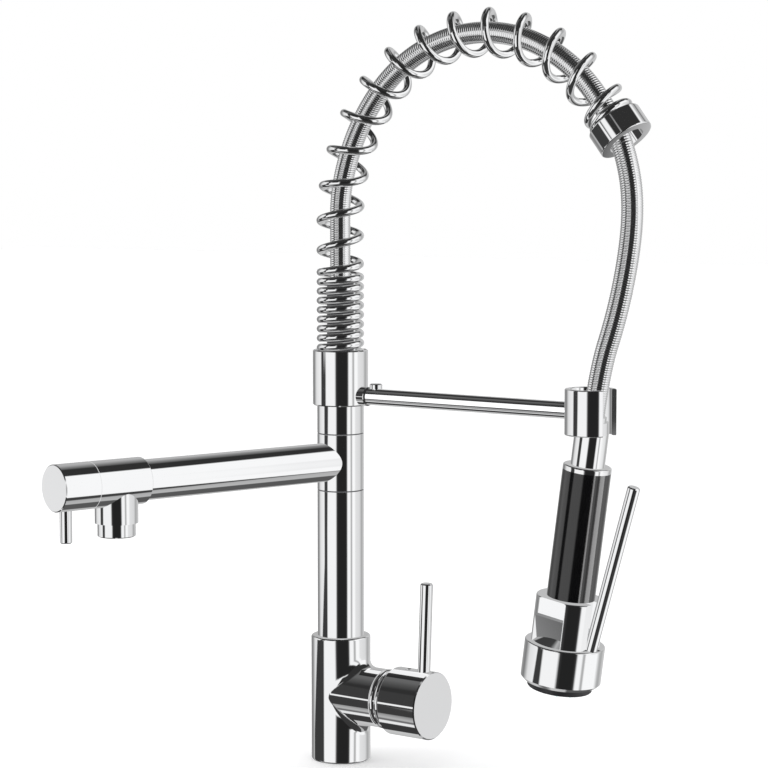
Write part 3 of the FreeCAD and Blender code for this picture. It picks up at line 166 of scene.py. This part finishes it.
def surface(name, first, second, rough_low, rough_high, scale, metallic=0.0, coat=0.0, bump=None):
    """A material whose colour and roughness vary a little, with a bump of (scale, strength, depth)."""
    material, nodes, links, bsdf = new_material(name)
    bsdf.inputs["Metallic"].default_value = metallic
    bsdf.inputs["Coat Weight"].default_value = coat
    broad = noise(nodes, links, scale, BROAD_DETAIL)
    links.new(tinted(nodes, links, broad.outputs["Fac"], first, second), bsdf.inputs["Base Color"])
    fine = noise(nodes, links, scale * FINE_TO_BROAD, FINE_DETAIL, FINE_ROUGHNESS)
    links.new(ranged(nodes, links, fine.outputs["Fac"], rough_low, rough_high), bsdf.inputs["Roughness"])
    if bump:
        grain_scale, strength, depth = bump
        grain = noise(nodes, links, grain_scale, GRAIN_DETAIL)
        bumped(nodes, links, bsdf, grain.outputs["Fac"], strength, depth)
    return material


MATERIALS = {
    "chrome": surface("chrome", (0.92, 0.925, 0.935), (0.95, 0.953, 0.96), 0.02, 0.04, 12.0, 1.0),
    "spring_chrome": surface("spring_chrome", (0.91, 0.915, 0.925), (0.94, 0.945, 0.95), 0.03, 0.06, 40.0,
                             1.0),
    "steel": surface("steel", (0.55, 0.56, 0.58), (0.68, 0.69, 0.71), 0.2, 0.34, 90.0, 1.0),
    "brass": surface("brass", (0.72, 0.56, 0.27), (0.82, 0.66, 0.36), 0.2, 0.36, 60.0, 1.0),
    "braid": surface("jacket_steel", (0.90, 0.905, 0.915), (0.95, 0.953, 0.96), 0.07, 0.14, 150.0, 1.0),
    "seal_rubber": surface("seal_rubber", (0.02, 0.02, 0.02), (0.04, 0.04, 0.04), 0.6, 0.85, 120.0,
                           bump=(900.0, 0.2, 0.0002)),
    "slip_plastic": surface("slip_plastic", (0.08, 0.08, 0.09), (0.12, 0.12, 0.13), 0.4, 0.6, 90.0,
                            bump=(1200.0, 0.15, 0.0001)),
    "cartridge_plastic": surface("cartridge_plastic", (0.70, 0.70, 0.67), (0.78, 0.78, 0.75), 0.35, 0.55,
                                 90.0, bump=(1200.0, 0.15, 0.0001)),
    "ceramic": surface("ceramic", (0.86, 0.85, 0.82), (0.92, 0.91, 0.88), 0.12, 0.25, 80.0),
    "grip_black": surface("grip_black", (0.0020, 0.0020, 0.0023), (0.0035, 0.0035, 0.0038), 0.08, 0.14,
                          70.0, coat=0.6, bump=(1500.0, 0.06, 0.0001)),
    "plate_black": surface("plate_black", (0.014, 0.014, 0.016), (0.024, 0.024, 0.027), 0.35, 0.5, 110.0,
                           bump=(1800.0, 0.2, 0.0001)),
    "nozzle_teal": surface("nozzle_teal", (0.0, 0.46, 0.54), (0.01, 0.54, 0.62), 0.4, 0.55, 300.0),
}
# Near-black teal inside the nozzle cups: painted shade on their inner walls and on the disc that closes each
# hole
NOZZLE_MOUTH_PAINTED_SHADE = surface("nozzle_mouth_painted_shade", (0.004, 0.02, 0.024), (0.006, 0.03, 0.034), 0.5, 0.7, 300.0)

# The polished faces show the studio's plain bands, and do not mirror the other pieces
for entry in frame["record"]["subparts"]:
    node = frame["nodes"][entry["node"]]
    node.data.materials.clear()
    node.data.materials.append(MATERIALS[entry["material_slot"]])
    node.visible_glossy = False


# New pieces

def mesh_piece(name, vertices, faces, materials, slots=None):
    """A piece with smooth sides and flat ends, its faces turned outwards."""
    mesh = bpy.data.meshes.new(name)
    mesh.from_pydata(vertices, [], faces)
    for material in materials:
        mesh.materials.append(material)
    for polygon in mesh.polygons:
        polygon.use_smooth = len(polygon.vertices) == 4
    if slots:
        mesh.polygons.foreach_set("material_index", slots)
    shaped = bmesh.new()
    shaped.from_mesh(mesh)
    bmesh.ops.recalc_face_normals(shaped, faces=shaped.faces)
    shaped.to_mesh(mesh)
    shaped.free()
    item = bpy.data.objects.new(name, mesh)
    item.visible_glossy = False
    bpy.context.scene.collection.objects.link(item)
    return item


def band_of_faces(low, sides):
    """The faces between a ring of points and the next ring, the first one's points starting at low."""
    faces = []
    for corner in range(sides):
        following = (corner + 1) % sides
        faces.append((low + corner, low + following, low + sides + following, low + sides + corner))
    return faces


# Hose with a jacket of close-wound wire

def spline_curve(name, route):
    """A smooth curve with the route's points as its control points."""
    data = bpy.data.curves.new(name, "CURVE")
    data.dimensions = "3D"
    data.resolution_u = CURVE_STEPS
    spline = data.splines.new("NURBS")
    spline.points.add(len(route) - 1)
    for point, (x, z) in zip(spline.points, route):
        point.co = (x, 0.0, z, 1.0)
    spline.order_u = 3
    spline.use_endpoint_u = True
    curve = bpy.data.objects.new(name, data)
    bpy.context.scene.collection.objects.link(curve)
    return curve


def line_points(curve):
    """The points of a curve that has no bevel, in order."""
    bpy.context.view_layer.update()
    mesh = bpy.data.meshes.new_from_object(curve)
    points = [vertex.co.copy() for vertex in mesh.vertices]
    bpy.data.meshes.remove(mesh)
    bpy.data.objects.remove(curve)
    return points


class Line:
    """A line in the plane of the arm that gives its place and its frame at any distance along it."""

    def __init__(self, points):
        self.points = points
        self.reach = [0.0]
        for first, second in zip(points, points[1:]):
            self.reach.append(self.reach[-1] + (second - first).length)
        self.length = self.reach[-1]
        self.hint = 0

    def at(self, distance):
        last = len(self.points) - 2
        index = self.hint if self.reach[self.hint] <= distance else 0
        while index < last and self.reach[index + 1] < distance:
            index += 1
        self.hint = index
        first = self.points[index]
        second = self.points[index + 1]
        share = (distance - self.reach[index]) / (self.reach[index + 1] - self.reach[index])
        before = self.points[max(index - 1, 0)]
        after = self.points[min(index + 2, last + 1)]
        start_way = (second - before).normalized()
        end_way = (after - first).normalized()
        along = start_way.lerp(end_way, share).normalized()
        side = Vector((0.0, 1.0, 0.0))
        out = side.cross(along).normalized()
        return first.lerp(second, share), along, out, side


RIB_PITCH = 0.0016
RIB_DEPTH = 0.00030
RINGS_PER_RIB = 6
JACKET_SIDES = 40


def wound_hose(name, points):
    """A hose whose jacket is one wire wound closely round it: each turn is a rounded rib."""
    line = Line(points)
    count = int(math.ceil(line.length / RIB_PITCH * RINGS_PER_RIB))
    vertices = []
    faces = []
    for index in range(count + 1):
        distance = index * line.length / count
        place, along, out, side = line.at(distance)
        for corner in range(JACKET_SIDES):
            angle = 2.0 * math.pi * corner / JACKET_SIDES
            crest = abs(math.cos(math.pi * distance / RIB_PITCH - angle / 2.0))
            outward = out * math.cos(angle) + side * math.sin(angle)
            vertices.append(place + outward * (HOSE_RADIUS - RIB_DEPTH * (1.0 - crest)))
    for index in range(count):
        faces.extend(band_of_faces(JACKET_SIDES * index, JACKET_SIDES))
    top = JACKET_SIDES * count
    faces.append(tuple(reversed(range(JACKET_SIDES))))
    faces.append(tuple(range(top, top + JACKET_SIDES)))
    return mesh_piece(name, vertices, faces, [MATERIALS["braid"]])


free_points = line_points(spline_curve("free_hose_line", FREE_HOSE_ROUTE))
free_hose = wound_hose("free_hose_jacket", free_points)
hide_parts("free_hose")
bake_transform(free_hose)

spring_points = line_points(spline_curve("spring_hose_line", SPRING_HOSE_ROUTE))
spring_hose = wound_hose("spring_hose_jacket", spring_points)
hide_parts("hose_in_spring")
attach(spring_hose, "upper")


# Spray nozzles

def lathe(name, profile, sides, places, frame_matrix, materials, mouth_from):
    """Turned pieces of one profile of (radius, height), one at each place of a frame.

    The first material is on the outside, the second from the ring mouth_from on; on the nozzles the second
    is a painted shade.
    """
    vertices = []
    faces = []
    slots = []
    for place in places:
        first = len(vertices)
        for radius, height in profile:
            for corner in range(sides):
                angle = 2.0 * math.pi * corner / sides
                spot = Vector((radius * math.cos(angle), radius * math.sin(angle), height))
                vertices.append(frame_matrix @ (Vector(place) + spot))
        for ring in range(len(profile) - 1):
            faces.extend(band_of_faces(first + sides * ring, sides))
            slots.extend([1 if ring >= mouth_from else 0] * sides)
        top = first + sides * (len(profile) - 1)
        faces.append(tuple(first + corner for corner in reversed(range(sides))))
        slots.append(0)
        faces.append(tuple(top + corner for corner in range(sides)))
        slots.append(1)
    return mesh_piece(name, vertices, faces, materials, slots)


NOZZLE_COUNT = 24
NOZZLE_OUTER = 0.0170
NOZZLE_INNER = 0.0140
NOZZLE_SIDES = 20
# The ring from which a cup's inside takes the painted shade
NOZZLE_PAINTED_SHADE_RING = 6
NOZZLE_PROFILE = [
    (0.00112, 0.0022),
    (0.00112, 0.0001),
    (0.00152, -0.0001),
    (0.00146, -0.0004),
    (0.00122, -0.0008),
    (0.00104, -0.0009),
    (0.00072, -0.0009),
    (0.00062, -0.0007),
    (0.00052, -0.0001),
]
nozzle_places = []
for index in range(NOZZLE_COUNT):
    reach = NOZZLE_OUTER if index % 2 == 0 else NOZZLE_INNER
    angle = 2.0 * math.pi * index / NOZZLE_COUNT
    nozzle_places.append((reach * math.cos(angle), reach * math.sin(angle), 0.0))
nozzles = lathe("nozzle_cups", NOZZLE_PROFILE, NOZZLE_SIDES, nozzle_places, SPRAY_FRAME,
                [MATERIALS["nozzle_teal"], NOZZLE_MOUTH_PAINTED_SHADE], NOZZLE_PAINTED_SHADE_RING)
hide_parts("spray_nozzles")
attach(nozzles, "handset")


# Floor

FLOOR_HALF = 8.0
floor_mesh = bpy.data.meshes.new("floor")
floor_mesh.from_pydata(
    [(-FLOOR_HALF, -FLOOR_HALF, 0.0), (FLOOR_HALF, -FLOOR_HALF, 0.0),
     (FLOOR_HALF, FLOOR_HALF, 0.0), (-FLOOR_HALF, FLOOR_HALF, 0.0)], [], [(0, 1, 2, 3)])
floor_material = surface("floor_white", (0.96, 0.96, 0.965), (0.97, 0.97, 0.975), 0.6, 0.8, 2.0)
floor_mesh.materials.append(floor_material)

# The camera sees the lit floor as white, and the object's shadow stays on it
FLOOR_GLOW = 0.14
floor_nodes = floor_material.node_tree.nodes
floor_links = floor_material.node_tree.links
floor_shader = floor_nodes["Principled BSDF"]
floor_shader.inputs["Emission Color"].default_value = (1.0, 1.0, 1.0, 1.0)
floor_path = floor_nodes.new("ShaderNodeLightPath")
floor_glow = ranged(floor_nodes, floor_links, floor_path.outputs["Is Camera Ray"], 0.0, FLOOR_GLOW, 0.0, 1.0)
floor_links.new(floor_glow, floor_shader.inputs["Emission Strength"])

floor = bpy.data.objects.new("floor", floor_mesh)
floor.visible_glossy = False
bpy.context.scene.collection.objects.link(floor)


# Studio that the polished pieces mirror: panels round the object, with a dark one on the camera's side.
# Round it, a stop is an angle from the camera in degrees, to the right, and a grey or a share.
# Upwards, it is the height of a direction, from -1 to 1, and the panels' share there.

STUDIO_ROUND = [
    (-180.0, 0.50),
    (-150.0, 0.25),
    (-140.0, 0.22),
    (-128.0, 0.50),
    (-118.0, 0.78),
    (-90.0, 0.90),
    (-64.0, 0.95),
    (-24.0, 0.95),
    (-17.0, 0.04),
    (-10.0, 0.018),
    (26.0, 0.018),
    (31.0, 0.05),
    (37.0, 0.97),
    (49.0, 0.97),
    (54.0, 0.45),
    (58.0, 0.45),
    (63.0, 1.0),
    (74.0, 1.0),
    (81.0, 0.80),
    (112.0, 0.72),
    (122.0, 0.48),
    (130.0, 0.40),
    (150.0, 0.62),
    (180.0, 0.50),
]
PANEL_UPRIGHT = [
    (-1.0, 0.0),
    (-0.50, 0.0),
    (-0.48, 1.0),
    (0.50, 1.0),
    (0.55, 0.0),
    (1.0, 0.0),
]
# On the right the panels are taller
RIGHT_UPRIGHT = [
    (-1.0, 0.0),
    (-0.605, 0.0),
    (-0.58, 1.0),
    (0.745, 1.0),
    (0.775, 0.0),
    (1.0, 0.0),
]
RIGHT_TALL = [
    (50.0, 0.0),
    (60.0, 1.0),
    (125.0, 1.0),
    (135.0, 0.0),
]
# The front left panel is lower
LEFT_UPRIGHT = [
    (-1.0, 0.0),
    (-0.50, 0.0),
    (-0.48, 1.0),
    (0.24, 1.0),
    (0.29, 0.0),
    (1.0, 0.0),
]
LEFT_LOW = [
    (-64.0, 0.0),
    (-58.0, 1.0),
    (-30.0, 1.0),
    (-24.0, 0.0),
]
# What shows above and below the panels
ABOVE_PANELS = [
    (-180.0, 0.45),
    (-172.0, 0.05),
    (-135.0, 0.02),
    (-131.0, 0.14),
    (-115.0, 0.13),
    (-90.0, 0.06),
    (-84.0, 0.03),
    (145.0, 0.03),
    (168.0, 0.25),
    (180.0, 0.45),
]
BELOW_PANELS = [
    (-180.0, 0.50),
    (-153.0, 0.60),
    (-149.0, 0.04),
    (-105.0, 0.04),
    (-103.0, 0.85),
    (-93.0, 0.85),
    (-91.0, 0.15),
    (-87.0, 0.15),
    (-84.0, 0.50),
    (-79.0, 0.35),
    (-75.0, 0.15),
    (-70.0, 0.04),
    (50.0, 0.04),
    (58.0, 0.05),
    (88.0, 0.05),
    (91.0, 0.45),
    (114.0, 0.50),
    (121.0, 0.10),
    (170.0, 0.10),
    (176.0, 0.50),
    (180.0, 0.50),
]
HORIZON = (-0.1, 0.1)
# Away from the horizon, by the square of the height, the right-hand panels are white
RIGHT_WHITE = [
    (60.0, 0.0),
    (72.0, 1.0),
    (105.0, 1.0),
    (118.0, 0.0),
]
RIGHT_WHITE_START = (0.06, 0.12)
# Two dark cards at the left, with a gap between them in their right part.
# The lower one's edges lean to the left at its foot.
CARD_GREY = 0.045
CARD_LEFT_TOP = math.radians(-87.0)
CARD_LEFT_FOOT = math.radians(-125.0)
CARD_LEFT_LEAN = (-0.232, -0.163)
CARD_RIGHT_TOP = math.radians(-63.5)
CARD_RIGHT_FOOT = math.radians(-69.0)
CARD_RIGHT_LEAN = (-0.150, -0.100)
CARD_SOFT = math.radians(2.5)
CARD_GAP_LOW = (-0.085, -0.065)
CARD_GAP_HIGH = (-0.005, 0.020)
CARD_GAP_START = (math.radians(-76.0), math.radians(-73.0))
LIGHT_ON_MATT = 1.0


def ramp(nodes, links, place, entries):
    """The grey at a place from 0 to 1, between stops of (place, grey)."""
    node = nodes.new("ShaderNodeValToRGB")
    elements = node.color_ramp.elements
    while len(elements) < len(entries):
        elements.new(0.5)
    for element, (spot, grey) in zip(elements, entries):
        element.position = spot
        element.color = (grey, grey, grey, 1.0)
    links.new(place, node.inputs["Fac"])
    return node.outputs["Color"]


def round_ramp(nodes, links, place, entries):
    """A ramp over the angle round from the camera, in degrees."""
    return ramp(nodes, links, place, [((angle + 180.0) / 360.0, grey) for angle, grey in entries])


def upright_ramp(nodes, links, place, entries):
    """A ramp over the height of a direction, from -1 straight down to 1 straight up."""
    return ramp(nodes, links, place, [((height + 1.0) / 2.0, grey) for height, grey in entries])


def mixed(nodes, links, factor, first, second):
    """The first colour where the factor is 0 and the second where it is 1; a number is a plain grey."""
    mix = nodes.new("ShaderNodeMix")
    mix.data_type = "RGBA"
    links.new(factor, mix.inputs["Factor"])
    for source, socket in ((first, mix.inputs["A"]), (second, mix.inputs["B"])):
        if isinstance(source, float):
            socket.default_value = (source, source, source, 1.0)
        else:
            links.new(source, socket)
    return mix.outputs["Result"]


def worked_out(nodes, links, operation, first, second):
    """The value of a sum or other operation on two sockets."""
    step = nodes.new("ShaderNodeMath")
    step.operation = operation
    links.new(first, step.inputs[0])
    links.new(second, step.inputs[1])
    return step.outputs["Value"]


def make_world():
    world = bpy.data.worlds.new("studio")
    bpy.context.scene.world = world
    world.use_nodes = True
    nodes = world.node_tree.nodes
    links = world.node_tree.links
    background = nodes["Background"]
    coordinates = nodes.new("ShaderNodeTexCoord")
    turned = nodes.new("ShaderNodeVectorRotate")
    turned.rotation_type = "Z_AXIS"
    turned.inputs["Angle"].default_value = math.pi / 2 - CAMERA_AZIMUTH
    links.new(coordinates.outputs["Generated"], turned.inputs["Vector"])
    split = nodes.new("ShaderNodeSeparateXYZ")
    links.new(turned.outputs["Vector"], split.inputs["Vector"])
    level = split.outputs["Z"]
    azimuth = worked_out(nodes, links, "ARCTAN2", split.outputs["Y"], split.outputs["X"])
    turn = ranged(nodes, links, azimuth, 0.0, 1.0, -math.pi, math.pi)
    height = ranged(nodes, links, level, 0.0, 1.0, -1.0, 1.0)

    # The dark cards before the panels
    left_edge = ranged(nodes, links, level, CARD_LEFT_FOOT, CARD_LEFT_TOP, *CARD_LEFT_LEAN)
    right_edge = ranged(nodes, links, level, CARD_RIGHT_FOOT, CARD_RIGHT_TOP, *CARD_RIGHT_LEAN)
    past_left = worked_out(nodes, links, "SUBTRACT", azimuth, left_edge)
    on_left = ranged(nodes, links, past_left, 0.0, 1.0, -CARD_SOFT, CARD_SOFT)
    past_right = worked_out(nodes, links, "SUBTRACT", azimuth, right_edge)
    on_right = ranged(nodes, links, past_right, 1.0, 0.0, -CARD_SOFT, CARD_SOFT)
    on_lower = ranged(nodes, links, level, 1.0, 0.0, *CARD_GAP_LOW)
    on_upper = ranged(nodes, links, level, 0.0, 1.0, *CARD_GAP_HIGH)
    before_gap = ranged(nodes, links, azimuth, 1.0, 0.0, *CARD_GAP_START)
    on_either = worked_out(nodes, links, "MAXIMUM", on_lower, on_upper)
    on_either = worked_out(nodes, links, "MAXIMUM", on_either, before_gap)
    in_width = worked_out(nodes, links, "MULTIPLY", on_left, on_right)
    on_card = worked_out(nodes, links, "MULTIPLY", in_width, on_either)
    panels = mixed(nodes, links, on_card, round_ramp(nodes, links, turn, STUDIO_ROUND), CARD_GREY)
    squared = worked_out(nodes, links, "MULTIPLY", level, level)
    whiter = worked_out(nodes, links, "MULTIPLY", round_ramp(nodes, links, turn, RIGHT_WHITE),
                        ranged(nodes, links, squared, 0.0, 1.0, *RIGHT_WHITE_START))
    panels = mixed(nodes, links, whiter, panels, 1.0)

    # What shows above and below the panels
    is_above = ranged(nodes, links, level, 0.0, 1.0, *HORIZON)
    beyond = mixed(nodes, links, is_above, round_ramp(nodes, links, turn, BELOW_PANELS),
                   round_ramp(nodes, links, turn, ABOVE_PANELS))
    share = mixed(nodes, links, round_ramp(nodes, links, turn, RIGHT_TALL),
                  upright_ramp(nodes, links, height, PANEL_UPRIGHT),
                  upright_ramp(nodes, links, height, RIGHT_UPRIGHT))
    share = mixed(nodes, links, round_ramp(nodes, links, turn, LEFT_LOW), share,
                  upright_ramp(nodes, links, height, LEFT_UPRIGHT))
    studio = mixed(nodes, links, share, beyond, panels)

    # Polished faces mirror the studio, matt ones get plain light, and the camera sees white
    path = nodes.new("ShaderNodeLightPath")
    lit = mixed(nodes, links, path.outputs["Is Glossy Ray"], LIGHT_ON_MATT, studio)
    seen = mixed(nodes, links, path.outputs["Is Camera Ray"], lit, 1.0)
    links.new(seen, background.inputs["Color"])


make_world()


# Lamps

def area_lamp(name, place, way, width, height, power):
    """A rectangular lamp at a place, shining along a way."""
    data = bpy.data.lights.new(name, "AREA")
    data.shape = "RECTANGLE"
    data.size = width
    data.size_y = height
    data.energy = power
    lamp = bpy.data.objects.new(name, data)
    lamp.location = place
    lamp.rotation_euler = way.to_track_quat("-Z", "Y").to_euler()
    bpy.context.scene.collection.objects.link(lamp)
    return lamp


# Soft lamps that light the matt pieces and throw the shadow on the floor

LAMP_AIM = Vector((0.05, 0.0, 0.25))


def soft_lamp(name, place, width, height, power):
    """A lamp aimed at the object, which no polished piece mirrors."""
    lamp = area_lamp(name, place, LAMP_AIM - Vector(place), width, height, power)
    lamp.visible_glossy = False


soft_lamp("key_lamp", (-0.9, -1.2, 1.5), width=1.0, height=1.0, power=9.0)
soft_lamp("fill_lamp", (1.6, 0.3, 1.2), width=1.0, height=1.2, power=5.0)

# Strip lamps that only some pieces mirror, for the highlights on the arm, the valve, the mixer and the grip.
# A strip's power is worked out so that a brightness of 1 is mirrored as a white panel is.

STRIP_POWER = 4.0
STRIP_DISTANCE = 3.0
STRIP_AIM = Vector((0.15, 0.0, 0.22))


def strip_lamp(name, turn, half_width, low, high, brightness, receivers):
    """A lamp at an angle round from the camera, between two angles up, mirrored by the receivers alone."""
    heading = CAMERA_AZIMUTH - math.pi / 2 + math.radians(turn)
    out = Vector((math.cos(heading), math.sin(heading), 0.0))
    foot = STRIP_DISTANCE * math.tan(math.radians(low))
    head = STRIP_DISTANCE * math.tan(math.radians(high))
    width = 2.0 * STRIP_DISTANCE * math.tan(math.radians(half_width))
    height = head - foot
    place = STRIP_AIM + STRIP_DISTANCE * out + Vector((0.0, 0.0, (foot + head) / 2.0))
    lamp = area_lamp(name, place, -out, width, height, STRIP_POWER * width * height * brightness)
    lamp.data.use_shadow = False
    lamp.visible_camera = False
    mirrors = bpy.data.collections.new(name)
    for node_name in receivers:
        mirrors.objects.link(frame["nodes"][node_name])
    lamp.light_linking.receiver_collection = mirrors


strip_lamp("arm_strip", turn=-73.0, half_width=8.0, low=-20.0, high=33.0, brightness=0.90,
           receivers=["hose_arm"])
strip_lamp("valve_strip", turn=-73.0, half_width=8.0, low=-20.0, high=33.0, brightness=0.74,
           receivers=["valve_body"])
strip_lamp("mixer_strip", turn=-168.0, half_width=12.0, low=29.0, high=49.5, brightness=0.70,
           receivers=["lower_body", "bezel_ring", "handle_hub"])
strip_lamp("grip_strip", turn=79.0, half_width=14.0, low=-40.0, high=30.0, brightness=2.3,
           receivers=["grip"])
strip_lamp("grip_line", turn=35.0, half_width=4.0, low=-40.0, high=30.0, brightness=2.4,
           receivers=["grip"])

bpy.context.scene.view_settings.view_transform = "Standard"
